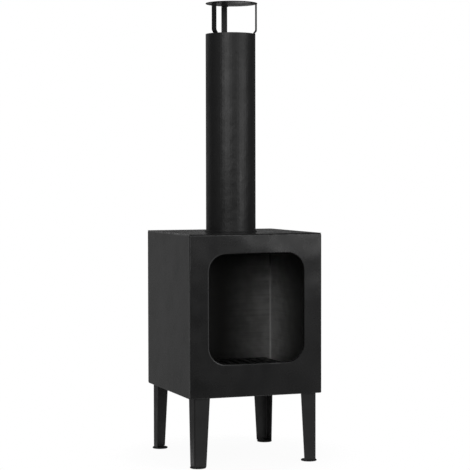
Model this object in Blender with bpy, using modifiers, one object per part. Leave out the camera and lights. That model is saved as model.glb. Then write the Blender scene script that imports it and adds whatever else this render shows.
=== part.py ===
"""Outdoor fireplace: a square sheet-steel firebox on four angle legs, with a round chimney and a rain cap.

Metres, +Z up. The origin is on the floor, under the middle of the firebox, and the fire opening faces -Y.
"""

import math

import bmesh
import bpy
from mathutils import Matrix, Vector

# Clearances shared by all pieces
SEAT_GAP = 0.0003
SLIP_CLEARANCE = 0.0005
OVERRUN = 0.01

# Firebox shell
BODY_WIDTH = 0.360
BODY_DEPTH = 0.360
BODY_HEIGHT = 0.416
LEG_HEIGHT = 0.178
SHEET = 0.0015
BEND_RADIUS = 0.003
PANEL_RETURN = 0.006

# Fire opening in the front panel
OPENING_MARGIN = 0.051
OPENING_SILL = 0.085
OPENING_CORNER_RADIUS = 0.045
OPENING_LIP = 0.005

# Bottom plate, set up inside the four walls
BOTTOM_RECESS = 0.012

# Chimney pipe, its spigot and the locating ring round its foot
PIPE_RADIUS = 0.066
PIPE_WALL = 0.0012
PIPE_LENGTH = 0.522
PIPE_SETBACK = 0.012
SPIGOT_WALL = 0.0015
SPIGOT_RISE = 0.040
SPIGOT_FLANGE_WIDTH = 0.016
SPIGOT_FLANGE_THICKNESS = 0.002
FOOT_RING_SIZE = 0.003
FOOT_RING_SHARES = ((0.25, 1.0), (0.5, 0.5), (1.0, 0.25), (1.0, 0.0), (0.0, 0.0), (0.0, 1.0))

# Rain cap on three bent strips
CAP_RADIUS = 0.0685
CAP_THICKNESS = 0.0015
CAP_EDGE_ROUNDING = 0.0004
CAP_GAP = 0.080
CAP_PLAY = 0.0026
CAP_PLAY_ANGLE = math.radians(-20)
STRIP_COUNT = 3
STRIP_FIRST_ANGLE = math.radians(86.7)
STRIP_WIDTH = 0.016
STRIP_THICKNESS = 0.0015
STRIP_EDGE_INSET = 0.0008
STRIP_TAB = 0.013
STRIP_JOGGLE_RISE = 0.008
STRIP_PLUG_DEPTH = 0.030
STRIP_BEND = 0.0016

# Fire grate that stands loose on the bottom plate
GRATE_WALL_CLEARANCE = 0.0315
GRATE_TOP_ABOVE_BOX_EDGE = 0.060
GRATE_THICKNESS = 0.003
GRATE_BEND_RADIUS = 0.005
GRATE_SLOT_COUNT = 9
GRATE_SLOT_WIDTH = 0.010
GRATE_SLOT_MARGIN = 0.030
GRATE_FOOT_WIDTH = 0.050
GRATE_SKIRT_BAND = 0.014

# Legs: tapered angle steel with the fold outwards
LEG_INSET_X = 0.0128
LEG_INSET_Y = 0.0065
LEG_FLANGE_TOP = 0.0425
LEG_FLANGE_FOOT = 0.0322
LEG_THICKNESS = 0.002
LEG_BEND_RADIUS = 0.004
LEG_PLATE_SIDE = 0.056
LEG_PLATE_THICKNESS = 0.003
LEG_PLATE_CORNER_RADIUS = 0.006
FOOT_PLATE_RADIUS = 0.0205
FOOT_PLATE_THICKNESS = 0.003
FOOT_PLATE_OFFSET = 0.0145
FOOT_PLATE_EDGE_ROUNDING = 0.0005

# Leg bolts and nuts
BOLT_RADIUS = 0.003
BOLT_HEAD_ACROSS_FLATS = 0.010
BOLT_HEAD_HEIGHT = 0.004
BOLT_TIP_PAST_NUT = 0.0015
BOLT_HOLE_CLEARANCE = 0.0004
NUT_HEIGHT = 0.005
BOLT_NEAR_OFFSET = 0.016
BOLT_FAR_OFFSET = 0.042

# Smoothness of rounds
ROUND_STEPS = 64
FOOT_STEPS = 36
BOLT_STEPS = 16
HEX_STEPS = 6
CORNER_STEPS = 8
SLOT_END_STEPS = 4
BEND_STEPS = 3
BEND_ANGLE_LIMIT = math.radians(15)
SMOOTH_ANGLE = math.radians(35)
MERGE_DISTANCE = 0.00001

# Paints and the fasteners' finish, as colour, metallic and roughness
BLACK_PAINT = ((0.030, 0.030, 0.031, 1.0), 0.0, 0.48)
PIPE_PAINT = ((0.026, 0.026, 0.027, 1.0), 0.0, 0.42)
LEG_PAINT = ((0.028, 0.028, 0.029, 1.0), 0.0, 0.46)
GRATE_PAINT = ((0.016, 0.016, 0.016, 1.0), 0.0, 0.75)
BLACKED_STEEL = ((0.060, 0.060, 0.062, 1.0), 0.9, 0.45)

# Heights and places that follow from the sizes above
BOX_BOTTOM = LEG_HEIGHT
BOX_TOP = BOX_BOTTOM + BODY_HEIGHT
WALL_TOP = BOX_TOP - SHEET - SEAT_GAP
WALL_INSIDE_X = BODY_WIDTH / 2 - SHEET
WALL_INSIDE_Y = BODY_DEPTH / 2 - SHEET
BOTTOM_UNDERSIDE = BOX_BOTTOM + BOTTOM_RECESS
BOTTOM_TOP = BOTTOM_UNDERSIDE + SHEET
PIPE_BORE = PIPE_RADIUS - PIPE_WALL
PIPE_FOOT = BOX_TOP + SEAT_GAP
SPIGOT_RADIUS = PIPE_BORE - SLIP_CLEARANCE
FLUE_HOLE_RADIUS = SPIGOT_RADIUS + SEAT_GAP
GRATE_TOP = BOX_BOTTOM + GRATE_TOP_ABOVE_BOX_EDGE
LEG_PLATE_TOP = BOTTOM_UNDERSIDE - SEAT_GAP
LEG_PLATE_BOTTOM = LEG_PLATE_TOP - LEG_PLATE_THICKNESS
FLUE_AXIS = Vector((0, PIPE_SETBACK, 0))
LEG_CORNERS = {"front_left": (-1, -1), "front_right": (1, -1), "back_right": (1, 1), "back_left": (-1, 1)}


def clear_scene():
    """Remove every object, so the script can be run again in the same file."""
    for old in list(bpy.data.objects):
        bpy.data.objects.remove(old, do_unlink=True)


def new_collection(name):
    collection = bpy.data.collections.new(name)
    bpy.context.scene.collection.children.link(collection)
    return collection


def new_material(name, finish):
    """A plain Principled material from a colour, a metallic value and a roughness."""
    colour, metallic, roughness = finish
    material = bpy.data.materials.new(name)
    material.use_nodes = True
    shader = material.node_tree.nodes["Principled BSDF"]
    shader.inputs["Base Color"].default_value = colour
    shader.inputs["Metallic"].default_value = metallic
    shader.inputs["Roughness"].default_value = roughness
    material.diffuse_color = colour
    return material


def add_piece(name, mesh, finish, location=(0, 0, 0), turn=0.0, parent=None):
    """Put a mesh in the scene as a named piece with a material of its own."""
    piece = bpy.data.objects.new(name, mesh)
    piece.location = location
    piece.rotation_euler = (0, 0, turn)
    bpy.data.collections["outdoor_fireplace"].objects.link(piece)
    if parent is not None:
        piece.parent = parent
    material = new_material(name + "_finish", finish)
    if mesh.materials:
        piece.material_slots[0].link = "OBJECT"
        piece.material_slots[0].material = material
    else:
        mesh.materials.append(material)
    return piece


def add_cutter(name, mesh, parent=None):
    """Put a mesh in the cutters' collection, as a hidden guide."""
    cutter = bpy.data.objects.new(name, mesh)
    cutter.hide_render = True
    cutter.display_type = "WIRE"
    bpy.data.collections["cutters"].objects.link(cutter)
    if parent is not None:
        cutter.parent = parent
    return cutter


def add_lift_axis(name, location, parent=None):
    """An empty on the line along which a loose piece is lifted."""
    empty = bpy.data.objects.new(name, None)
    empty.location = location
    bpy.data.collections["outdoor_fireplace"].objects.link(empty)
    if parent is not None:
        empty.parent = parent
    return empty


def mesh_from(bm, name, smooth=True):
    """Turn a bmesh into a mesh, shaded smooth across its shallow angles."""
    mesh = bpy.data.meshes.new(name)
    bm.to_mesh(mesh)
    bm.free()
    if smooth:
        mesh.shade_smooth()
        mesh.set_sharp_from_angle(angle=SMOOTH_ANGLE)
    return mesh


def open_box(size, missing=()):
    """A box about the origin, without the faces that look along the missing directions."""
    bm = bmesh.new()
    bmesh.ops.create_cube(bm, size=1)
    bmesh.ops.scale(bm, vec=size, verts=bm.verts)
    bm.normal_update()
    ways = [Vector(way) for way in missing]
    lost = [face for face in bm.faces if any(face.normal.dot(way) > 0.5 for way in ways)]
    bmesh.ops.delete(bm, geom=lost, context="FACES")
    return bm


def cylinder(radius, height, steps, base=0.0):
    """An upright cylinder on the origin's axis, with its lower end at the base height."""
    bm = bmesh.new()
    place = Matrix.Translation((0, 0, base + height / 2))
    bmesh.ops.create_cone(
        bm, cap_ends=True, segments=steps, radius1=radius, radius2=radius, depth=height, matrix=place
    )
    return bm


def add_bends(piece, radius):
    """Round every fold of an open sheet."""
    bends = piece.modifiers.new("bends", "BEVEL")
    bends.width = radius
    bends.segments = BEND_STEPS
    bends.limit_method = "ANGLE"
    bends.angle_limit = BEND_ANGLE_LIMIT


def add_thickness(piece, thickness):
    """Thicken an open sheet inwards from its outer side."""
    sheet = piece.modifiers.new("sheet", "SOLIDIFY")
    sheet.thickness = thickness
    sheet.offset = -1
    sheet.use_even_offset = True


def add_edge_rounding(piece, radius):
    """Ease the sharp edges of a solid plate."""
    rounding = piece.modifiers.new("eased_edges", "BEVEL")
    rounding.width = radius
    rounding.limit_method = "ANGLE"


def cut(piece, cutter):
    """Cut a piece with a closed cutter."""
    boolean = piece.modifiers.new("cut_" + cutter.name, "BOOLEAN")
    boolean.operation = "DIFFERENCE"
    boolean.solver = "EXACT"
    boolean.object = cutter


def turned_piece(name, profile, finish, location, parent=None):
    """Revolve a closed profile of (radius, height) points, given down its outer side first."""
    bm = bmesh.new()
    points = [bm.verts.new((radius, 0, height)) for radius, height in profile]
    for index, point in enumerate(points):
        bm.edges.new((point, points[(index + 1) % len(points)]))
    piece = add_piece(name, mesh_from(bm, name, smooth=False), finish, location, parent=parent)
    screw = piece.modifiers.new("turn", "SCREW")
    screw.steps = ROUND_STEPS
    screw.render_steps = ROUND_STEPS
    screw.use_merge_vertices = True
    screw.merge_threshold = MERGE_DISTANCE
    screw.use_smooth_shade = True
    return piece


def window_loops(width, height, hole_width, hole_height, hole_radius, hole_centre, corner_steps):
    """Matching loops of a rectangle about the origin and a round-cornered hole in it, anticlockwise."""
    hole = []
    frame = []
    for side_x, side_y, start in ((1, 1, 0), (-1, 1, 1), (-1, -1, 2), (1, -1, 3)):
        centre = Vector((
            hole_centre[0] + side_x * (hole_width / 2 - hole_radius),
            hole_centre[1] + side_y * (hole_height / 2 - hole_radius),
        ))
        corner = Vector((side_x * width / 2, side_y * height / 2))
        along_x = Vector((centre.x, corner.y))
        along_y = Vector((corner.x, centre.y))
        first, last = (along_y, along_x) if start % 2 == 0 else (along_x, along_y)
        for step in range(corner_steps + 1):
            share = step / corner_steps
            angle = (start + share) * math.pi / 2
            hole.append(centre + hole_radius * Vector((math.cos(angle), math.sin(angle))))
            if share <= 0.5:
                frame.append(first.lerp(corner, share * 2))
            else:
                frame.append(corner.lerp(last, share * 2 - 1))
    return frame, hole


def sheet_through(loops):
    """An open sheet that runs through loops of 3D points, one after the other."""
    bm = bmesh.new()
    rings = [[bm.verts.new(point) for point in loop] for loop in loops]
    for ring, following in zip(rings, rings[1:]):
        for index in range(len(ring)):
            after = (index + 1) % len(ring)
            bm.faces.new((ring[index], ring[after], following[after], following[index]))
    bmesh.ops.remove_doubles(bm, verts=bm.verts, dist=MERGE_DISTANCE)
    return bm


def add_front_panel():
    """The front: one sheet folded back along its four sides and turned in round the fire opening."""
    height = WALL_TOP - BOX_BOTTOM
    hole_bottom = OPENING_SILL
    hole_top = BODY_HEIGHT - OPENING_MARGIN
    frame, hole = window_loops(
        BODY_WIDTH,
        height,
        BODY_WIDTH - 2 * OPENING_MARGIN,
        hole_top - hole_bottom,
        OPENING_CORNER_RADIUS,
        (0.0, (hole_bottom + hole_top - height) / 2),
        CORNER_STEPS,
    )
    loops = [
        [(x, PANEL_RETURN, z) for x, z in frame],
        [(x, 0, z) for x, z in frame],
        [(x, 0, z) for x, z in hole],
        [(x, OPENING_LIP, z) for x, z in hole],
    ]
    bm = sheet_through(loops)
    place = (0, -BODY_DEPTH / 2, BOX_BOTTOM + height / 2)
    panel = add_piece("front_panel", mesh_from(bm, "front_panel"), BLACK_PAINT, place)
    add_bends(panel, BEND_RADIUS)
    add_thickness(panel, SHEET)


def add_back_panel():
    """The back: a plain sheet folded forward along its four sides."""
    height = WALL_TOP - BOX_BOTTOM
    bm = open_box((BODY_WIDTH, PANEL_RETURN, height), missing=[(0, -1, 0)])
    place = (0, (BODY_DEPTH - PANEL_RETURN) / 2, BOX_BOTTOM + height / 2)
    panel = add_piece("back_panel", mesh_from(bm, "back_panel"), BLACK_PAINT, place)
    add_bends(panel, BEND_RADIUS)
    add_thickness(panel, SHEET)


def add_side_panels():
    """The two sides: flat sheets that butt against the folds of the front and the back."""
    depth = BODY_DEPTH - 2 * (PANEL_RETURN + SEAT_GAP)
    height = WALL_TOP - BOX_BOTTOM
    for name, side in (("left_side_panel", -1), ("right_side_panel", 1)):
        bm = open_box((SHEET, depth, height))
        place = (side * (BODY_WIDTH - SHEET) / 2, 0, BOX_BOTTOM + height / 2)
        add_piece(name, mesh_from(bm, name, smooth=False), BLACK_PAINT, place)


def add_top_plate():
    """The top: a flat sheet laid on the walls between the front's bend and the back's, with a flue hole."""
    frame, hole = window_loops(
        BODY_WIDTH,
        BODY_DEPTH - 2 * BEND_RADIUS,
        2 * FLUE_HOLE_RADIUS,
        2 * FLUE_HOLE_RADIUS,
        FLUE_HOLE_RADIUS,
        (0.0, PIPE_SETBACK),
        ROUND_STEPS // 4,
    )
    bm = sheet_through([[(x, y, 0) for x, y in frame], [(x, y, 0) for x, y in hole]])
    plate = add_piece("top_plate", mesh_from(bm, "top_plate"), BLACK_PAINT, (0, 0, BOX_TOP))
    add_thickness(plate, SHEET)


def bolt_places():
    """Every leg bolt's name and place on the floor plan."""
    places = []
    for corner, (side_x, side_y) in LEG_CORNERS.items():
        fold_x, fold_y = leg_fold_place(side_x, side_y)
        pairs = ((BOLT_NEAR_OFFSET, BOLT_FAR_OFFSET), (BOLT_FAR_OFFSET, BOLT_NEAR_OFFSET))
        for number, (in_x, in_y) in enumerate(pairs, start=1):
            places.append((f"{corner}_{number}", fold_x - side_x * in_x, fold_y - side_y * in_y))
    return places


def leg_fold_place(side_x, side_y):
    """Where a leg's outer fold line stands on the floor plan."""
    return side_x * (BODY_WIDTH / 2 - LEG_INSET_X), side_y * (BODY_DEPTH / 2 - LEG_INSET_Y)


def add_bottom_plate():
    """The bottom: a sheet folded down along its four sides, inside the walls, with the bolt holes."""
    width = 2 * (WALL_INSIDE_X - SEAT_GAP)
    depth = 2 * (WALL_INSIDE_Y - SEAT_GAP)
    rim_bottom = BOX_BOTTOM + BEND_RADIUS + SEAT_GAP
    height = BOTTOM_TOP - rim_bottom
    bm = open_box((width, depth, height), missing=[(0, 0, -1)])
    place = (0, 0, rim_bottom + height / 2)
    plate = add_piece("bottom_plate", mesh_from(bm, "bottom_plate"), BLACK_PAINT, place)
    add_bends(plate, BEND_RADIUS)
    add_thickness(plate, SHEET)
    cut(plate, bolt_hole_cutter("bottom_plate_holes", BOTTOM_UNDERSIDE, SHEET))


def bolt_hole_cutter(name, base, thickness):
    """Eight upright pins, one for each leg bolt, that run past both faces of a plate."""
    bm = bmesh.new()
    height = thickness + 2 * OVERRUN
    for _, x, y in bolt_places():
        bmesh.ops.create_cone(
            bm,
            cap_ends=True,
            segments=BOLT_STEPS,
            radius1=BOLT_RADIUS + BOLT_HOLE_CLEARANCE,
            radius2=BOLT_RADIUS + BOLT_HOLE_CLEARANCE,
            depth=height,
            matrix=Matrix.Translation((x, y, base - OVERRUN + height / 2)),
        )
    return add_cutter(name, mesh_from(bm, name, smooth=False))


def add_legs():
    """Four tapered angle legs, each welded between a bolting plate and a round foot plate."""
    leg_bottom = FOOT_PLATE_THICKNESS + SEAT_GAP
    height = LEG_PLATE_BOTTOM - SEAT_GAP - leg_bottom
    leg_mesh = tapered_angle_mesh(height)
    plate_mesh = bolting_plate_mesh()
    foot_mesh = mesh_from(cylinder(FOOT_PLATE_RADIUS, FOOT_PLATE_THICKNESS, FOOT_STEPS), "foot_plate")
    holes = bolt_hole_cutter("leg_plate_holes", LEG_PLATE_BOTTOM, LEG_PLATE_THICKNESS)
    for quarter, (corner, (side_x, side_y)) in enumerate(LEG_CORNERS.items()):
        fold_x, fold_y = leg_fold_place(side_x, side_y)
        turn = quarter * math.pi / 2
        leg = add_piece("leg_" + corner, leg_mesh, LEG_PAINT, (fold_x, fold_y, leg_bottom), turn)
        add_bends(leg, LEG_BEND_RADIUS)
        add_thickness(leg, LEG_THICKNESS)
        plate_place = (fold_x, fold_y, LEG_PLATE_BOTTOM)
        plate = add_piece("leg_plate_" + corner, plate_mesh, LEG_PAINT, plate_place, turn)
        cut(plate, holes)
        foot_place = (fold_x - side_x * FOOT_PLATE_OFFSET, fold_y - side_y * FOOT_PLATE_OFFSET, 0)
        foot = add_piece("foot_plate_" + corner, foot_mesh, LEG_PAINT, foot_place)
        add_edge_rounding(foot, FOOT_PLATE_EDGE_ROUNDING)


def tapered_angle_mesh(height):
    """Two flanges that meet at an upright fold on the origin and run along +X and +Y."""
    bm = bmesh.new()
    levels = [(0.0, LEG_FLANGE_FOOT), (height, LEG_FLANGE_TOP)]
    x_edge = [bm.verts.new((flange, 0, z)) for z, flange in levels]
    fold = [bm.verts.new((0, 0, z)) for z, _ in levels]
    y_edge = [bm.verts.new((0, flange, z)) for z, flange in levels]
    bm.faces.new((fold[0], x_edge[0], x_edge[1], fold[1]))
    bm.faces.new((y_edge[0], fold[0], fold[1], y_edge[1]))
    return mesh_from(bm, "tapered_angle")


def bolting_plate_mesh():
    """A square plate with its outer corner on the origin's upright line and rounded corners."""
    side = LEG_PLATE_SIDE
    bm = open_box((side, side, LEG_PLATE_THICKNESS))
    bmesh.ops.translate(bm, vec=(side / 2, side / 2, LEG_PLATE_THICKNESS / 2), verts=bm.verts)
    upright = [edge for edge in bm.edges if abs((edge.verts[0].co - edge.verts[1].co).z) > MERGE_DISTANCE]
    bmesh.ops.bevel(
        bm, geom=upright, offset=LEG_PLATE_CORNER_RADIUS, segments=BEND_STEPS, affect="EDGES"
    )
    return mesh_from(bm, "bolting_plate")


def add_leg_bolts():
    """Two hexagon bolts and nuts for each leg: head under the leg's plate, nut on the bottom plate."""
    head_top = LEG_PLATE_BOTTOM - SEAT_GAP
    nut_bottom = BOTTOM_TOP + SEAT_GAP
    shank = nut_bottom + NUT_HEIGHT + BOLT_TIP_PAST_NUT - head_top
    bolt_mesh = hexagon_bolt_mesh(shank)
    nut_mesh = hexagon_nut_mesh()
    for name, x, y in bolt_places():
        add_piece("leg_bolt_" + name, bolt_mesh, BLACKED_STEEL, (x, y, head_top))
        add_piece("leg_nut_" + name, nut_mesh, BLACKED_STEEL, (x, y, nut_bottom))


def hexagon_bolt_mesh(shank):
    """A bolt with its head hanging under the origin and its shank standing on it."""
    hex_radius = BOLT_HEAD_ACROSS_FLATS / 2 / math.cos(math.pi / HEX_STEPS)
    head = cylinder(hex_radius, BOLT_HEAD_HEIGHT, HEX_STEPS, base=-BOLT_HEAD_HEIGHT)
    pin = cylinder(BOLT_RADIUS, shank + BOLT_HEAD_HEIGHT / 2, BOLT_STEPS, base=-BOLT_HEAD_HEIGHT / 2)
    return combined_mesh("hexagon_bolt", head, pin, "UNION")


def hexagon_nut_mesh():
    """A nut that stands on the origin, bored a little wider than the bolt."""
    hex_radius = BOLT_HEAD_ACROSS_FLATS / 2 / math.cos(math.pi / HEX_STEPS)
    blank = cylinder(hex_radius, NUT_HEIGHT, HEX_STEPS)
    bore = cylinder(BOLT_RADIUS + SEAT_GAP, NUT_HEIGHT + 2 * OVERRUN, BOLT_STEPS, base=-OVERRUN)
    return combined_mesh("hexagon_nut", blank, bore, "DIFFERENCE")


def combined_mesh(name, first, second, operation):
    """The mesh that a Boolean of two bmeshes gives."""
    base = add_cutter(name + "_blank", mesh_from(first, name + "_blank", smooth=False))
    tool = add_cutter(name + "_tool", mesh_from(second, name + "_tool", smooth=False))
    boolean = base.modifiers.new("combine", "BOOLEAN")
    boolean.operation = operation
    boolean.solver = "EXACT"
    boolean.object = tool
    depsgraph = bpy.context.evaluated_depsgraph_get()
    mesh = bpy.data.meshes.new_from_object(base.evaluated_get(depsgraph))
    mesh.name = name
    for helper in (base, tool):
        bpy.data.objects.remove(helper, do_unlink=True)
    return mesh


def add_flue_fittings():
    """The spigot welded under the top plate, and the ring that locates the pipe's foot."""
    flange_top = BOX_TOP - SHEET - SEAT_GAP
    flange_bottom = flange_top - SPIGOT_FLANGE_THICKNESS
    flange_radius = SPIGOT_RADIUS + SPIGOT_FLANGE_WIDTH
    spigot_top = BOX_TOP + SPIGOT_RISE
    spigot_profile = [
        (SPIGOT_RADIUS, spigot_top),
        (SPIGOT_RADIUS, flange_top),
        (flange_radius, flange_top),
        (flange_radius, flange_bottom),
        (SPIGOT_RADIUS - SPIGOT_WALL, flange_bottom),
        (SPIGOT_RADIUS - SPIGOT_WALL, spigot_top),
    ]
    turned_piece("flue_spigot", spigot_profile, BLACK_PAINT, FLUE_AXIS)
    ring_inner = PIPE_RADIUS + SLIP_CLEARANCE
    ring_bottom = BOX_TOP + SEAT_GAP
    ring_profile = [
        (ring_inner + out * FOOT_RING_SIZE, ring_bottom + up * FOOT_RING_SIZE) for out, up in FOOT_RING_SHARES
    ]
    turned_piece("pipe_foot_ring", ring_profile, PIPE_PAINT, FLUE_AXIS)


def add_chimney_pipe():
    """The rolled pipe, on the line along which it is lifted off its spigot."""
    axis = add_lift_axis("chimney_pipe_axis", FLUE_AXIS + Vector((0, 0, PIPE_FOOT)))
    profile = [
        (PIPE_RADIUS, PIPE_LENGTH),
        (PIPE_RADIUS, 0),
        (PIPE_BORE, 0),
        (PIPE_BORE, PIPE_LENGTH),
    ]
    turned_piece("chimney_pipe", profile, PIPE_PAINT, (0, 0, 0), parent=axis)
    return axis


def strip_profile():
    """A cap strip's outer side as (distance from the axis, height over the pipe's rim), top tab first."""
    bore_at_edges = math.sqrt(PIPE_BORE ** 2 - (STRIP_WIDTH / 2) ** 2)
    plug = bore_at_edges - CAP_PLAY - SLIP_CLEARANCE
    upright = math.sqrt((CAP_RADIUS - STRIP_EDGE_INSET) ** 2 - (STRIP_WIDTH / 2) ** 2)
    slope = math.atan2(upright - plug, STRIP_JOGGLE_RISE)
    seat = bore_at_edges - CAP_PLAY - SEAT_GAP / math.cos(slope)
    joggle_bottom = -(seat - plug) / math.tan(slope)
    top = CAP_GAP - SEAT_GAP
    return [
        (upright - STRIP_TAB, top),
        (upright, top),
        (upright, joggle_bottom + STRIP_JOGGLE_RISE),
        (plug, joggle_bottom),
        (plug, joggle_bottom - STRIP_PLUG_DEPTH),
    ]


def add_rain_cap(pipe_axis):
    """A flat disc on three strips that plug loosely into the pipe, pushed over to one side of it."""
    off_centre = (CAP_PLAY * math.cos(CAP_PLAY_ANGLE), CAP_PLAY * math.sin(CAP_PLAY_ANGLE), PIPE_LENGTH)
    axis = add_lift_axis("rain_cap_axis", off_centre, parent=pipe_axis)
    disc = cylinder(CAP_RADIUS, CAP_THICKNESS, ROUND_STEPS, base=CAP_GAP)
    disc_piece = add_piece("rain_cap_disc", mesh_from(disc, "rain_cap_disc"), PIPE_PAINT, parent=axis)
    add_edge_rounding(disc_piece, CAP_EDGE_ROUNDING)
    bm = bmesh.new()
    half = STRIP_WIDTH / 2
    sides = [[bm.verts.new((r, across, z)) for r, z in strip_profile()] for across in (-half, half)]
    near, far = sides
    for index in range(len(near) - 1):
        bm.faces.new((near[index], near[index + 1], far[index + 1], far[index]))
    strip_mesh = mesh_from(bm, "cap_strip")
    for number in range(STRIP_COUNT):
        turn = STRIP_FIRST_ANGLE + number * math.tau / STRIP_COUNT
        strip = add_piece(f"cap_strip_{number + 1}", strip_mesh, PIPE_PAINT, turn=turn, parent=axis)
        add_bends(strip, STRIP_BEND)
        add_thickness(strip, STRIP_THICKNESS)


def slot_cutter(length, pitch):
    """Round-ended upright blades side by side, for the grate's slots."""
    bm = bmesh.new()
    radius = GRATE_SLOT_WIDTH / 2
    reach = length / 2 - radius
    depth = GRATE_THICKNESS + 2 * OVERRUN
    for number in range(GRATE_SLOT_COUNT):
        x = (number - (GRATE_SLOT_COUNT - 1) / 2) * pitch
        outline = []
        for end in (1, -1):
            for step in range(SLOT_END_STEPS + 1):
                angle = math.pi * step / SLOT_END_STEPS + (0 if end > 0 else math.pi)
                outline.append((x + radius * math.cos(angle), end * reach + radius * math.sin(angle)))
        lower = [bm.verts.new((px, py, -depth / 2)) for px, py in outline]
        face = bm.faces.new(lower)
        grown = bmesh.ops.extrude_face_region(bm, geom=[face])
        raised = [item for item in grown["geom"] if isinstance(item, bmesh.types.BMVert)]
        bmesh.ops.translate(bm, vec=(0, 0, depth), verts=raised)
    bmesh.ops.recalc_face_normals(bm, faces=bm.faces)
    return bm


def add_fire_grate():
    """A slotted plate with its front and back folded down into four feet, lifted straight up."""
    axis = add_lift_axis("fire_grate_axis", (0, 0, GRATE_TOP))
    width = BODY_WIDTH - 2 * (SHEET + GRATE_WALL_CLEARANCE)
    depth = BODY_DEPTH - 2 * (SHEET + GRATE_WALL_CLEARANCE)
    height = GRATE_TOP - BOTTOM_TOP - SEAT_GAP
    bm = open_box((width, depth, height), missing=[(0, 0, -1), (1, 0, 0), (-1, 0, 0)])
    bmesh.ops.translate(bm, vec=(0, 0, -height / 2), verts=bm.verts)
    grate = add_piece("fire_grate", mesh_from(bm, "fire_grate"), GRATE_PAINT, parent=axis)
    add_bends(grate, GRATE_BEND_RADIUS)
    add_thickness(grate, GRATE_THICKNESS)
    pitch = (width - 2 * GRATE_SLOT_MARGIN - GRATE_SLOT_WIDTH) / (GRATE_SLOT_COUNT - 1)
    slots = slot_cutter(depth - 2 * GRATE_SLOT_MARGIN, pitch)
    bmesh.ops.translate(slots, vec=(0, 0, -GRATE_THICKNESS / 2), verts=slots.verts)
    cut(grate, add_cutter("grate_slots", mesh_from(slots, "grate_slots", smooth=False), parent=axis))
    window_top = -GRATE_THICKNESS - GRATE_SKIRT_BAND
    window_bottom = -height - OVERRUN
    window_size = (width - 2 * GRATE_FOOT_WIDTH, depth + 2 * OVERRUN, window_top - window_bottom)
    window = open_box(window_size)
    bmesh.ops.translate(window, vec=(0, 0, (window_top + window_bottom) / 2), verts=window.verts)
    cut(grate, add_cutter("grate_feet", mesh_from(window, "grate_feet", smooth=False), parent=axis))


def main():
    clear_scene()
    new_collection("outdoor_fireplace")
    new_collection("cutters")
    add_front_panel()
    add_back_panel()
    add_side_panels()
    add_top_plate()
    add_bottom_plate()
    add_legs()
    add_leg_bolts()
    add_flue_fittings()
    pipe_axis = add_chimney_pipe()
    add_rain_cap(pipe_axis)
    add_fire_grate()


main()
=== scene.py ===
"""Outdoor fireplace: paint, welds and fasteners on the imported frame, in a pale studio.

Laid out as an add-on and run as a script. Metres, +Z up. The fire opening faces -Y.
"""

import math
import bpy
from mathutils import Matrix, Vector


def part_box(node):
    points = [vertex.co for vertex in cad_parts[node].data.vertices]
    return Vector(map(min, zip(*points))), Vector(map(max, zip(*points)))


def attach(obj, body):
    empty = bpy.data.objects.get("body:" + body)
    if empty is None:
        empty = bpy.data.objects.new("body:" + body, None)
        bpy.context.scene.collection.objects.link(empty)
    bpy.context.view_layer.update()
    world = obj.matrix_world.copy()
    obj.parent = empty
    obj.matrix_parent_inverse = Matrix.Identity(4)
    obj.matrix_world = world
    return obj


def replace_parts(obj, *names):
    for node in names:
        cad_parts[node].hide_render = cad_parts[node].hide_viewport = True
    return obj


bl_info = {
    "name": "Outdoor Fireplace Finish",
    "version": (1, 0, 0),
    "blender": (4, 5, 0),
    "location": "3D Viewport > Sidebar > Fireplace",
    "description": "Paints a square garden fireplace, adds its welds and fasteners, and lights it",
    "category": "Object",
}

import bmesh
import bpy
from mathutils import Matrix, Vector

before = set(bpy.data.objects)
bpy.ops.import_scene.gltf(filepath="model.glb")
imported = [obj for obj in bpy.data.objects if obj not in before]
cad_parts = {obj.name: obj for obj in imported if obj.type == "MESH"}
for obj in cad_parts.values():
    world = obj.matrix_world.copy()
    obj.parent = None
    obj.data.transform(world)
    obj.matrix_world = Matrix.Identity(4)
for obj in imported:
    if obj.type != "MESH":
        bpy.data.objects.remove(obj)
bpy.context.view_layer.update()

LEG_NAMES = ("front_left", "front_right", "back_right", "back_left")
SHELL_NODES = ("front_panel", "back_panel", "left_side_panel", "right_side_panel", "top_plate", "bottom_plate")
STRIP_NODES = ("cap_strip_1", "cap_strip_2", "cap_strip_3")
BOLT_NUMBERS = (1, 2)

# Places read from the frame
shell_low, wall_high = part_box("front_panel")
top_low, shell_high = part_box("top_plate")
inside_high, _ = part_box("right_side_panel")
sheet = shell_high.x - inside_high.x
back_inside = -shell_low.y - sheet
pipe_low, pipe_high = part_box("chimney_pipe")

# Sizes of the solids that the frame's boxes don't give
LIP_DEPTH = 0.005
LEG_SHEET = 0.002
BOLT_HEAD = 0.004
BOLT_RADIUS = 0.003
NUT_BORE = 0.0033
NUT_MOUTH = 0.0004

# Shares of the firebox's height over which the soot and painted shade take over, on the steel and on the corner
# welds
STEEL_SOOT_AND_SHADE = (0.50, 1.10)
WELD_SOOT_AND_SHADE = (0.56, 0.82)

# Chamfers of the bolts' heads and the nuts: the flat face's radius as a share of the width, the slope, the rows
CHAMFER_FACE = 0.475
CHAMFER_SLOPE = math.radians(30)
CHAMFER_ROWS = 4

# As shares of a bead's radius: its end, and how far its middle lies off the faces it joins and off a leg's sheet
BEAD_END = 0.45
BEAD_OFFSET = 0.4
LEG_OFFSET = 0.5

# How much of a leg's width the beads at its foot and its top cover
FOOT_BEAD_SHARE = 0.72
TOP_BEAD_SHARE = 0.94

# Within which shares of the half width and the height the firebox's front is searched for the opening's lip
LIP_REGION = (0.8, 0.45)

# Edges of the added pieces that are steeper than this are shaded sharp
SHARP_ANGLE = math.radians(38)

# How far from a face a mask changes over, how far back a place still counts as the front, and how far behind
# the lip's end the inside's finish starts and is full
MASK_STEP = 0.0003
FRONT_REACH = 0.010
LIP_FADE = (0.0002, 0.0008)
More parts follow.
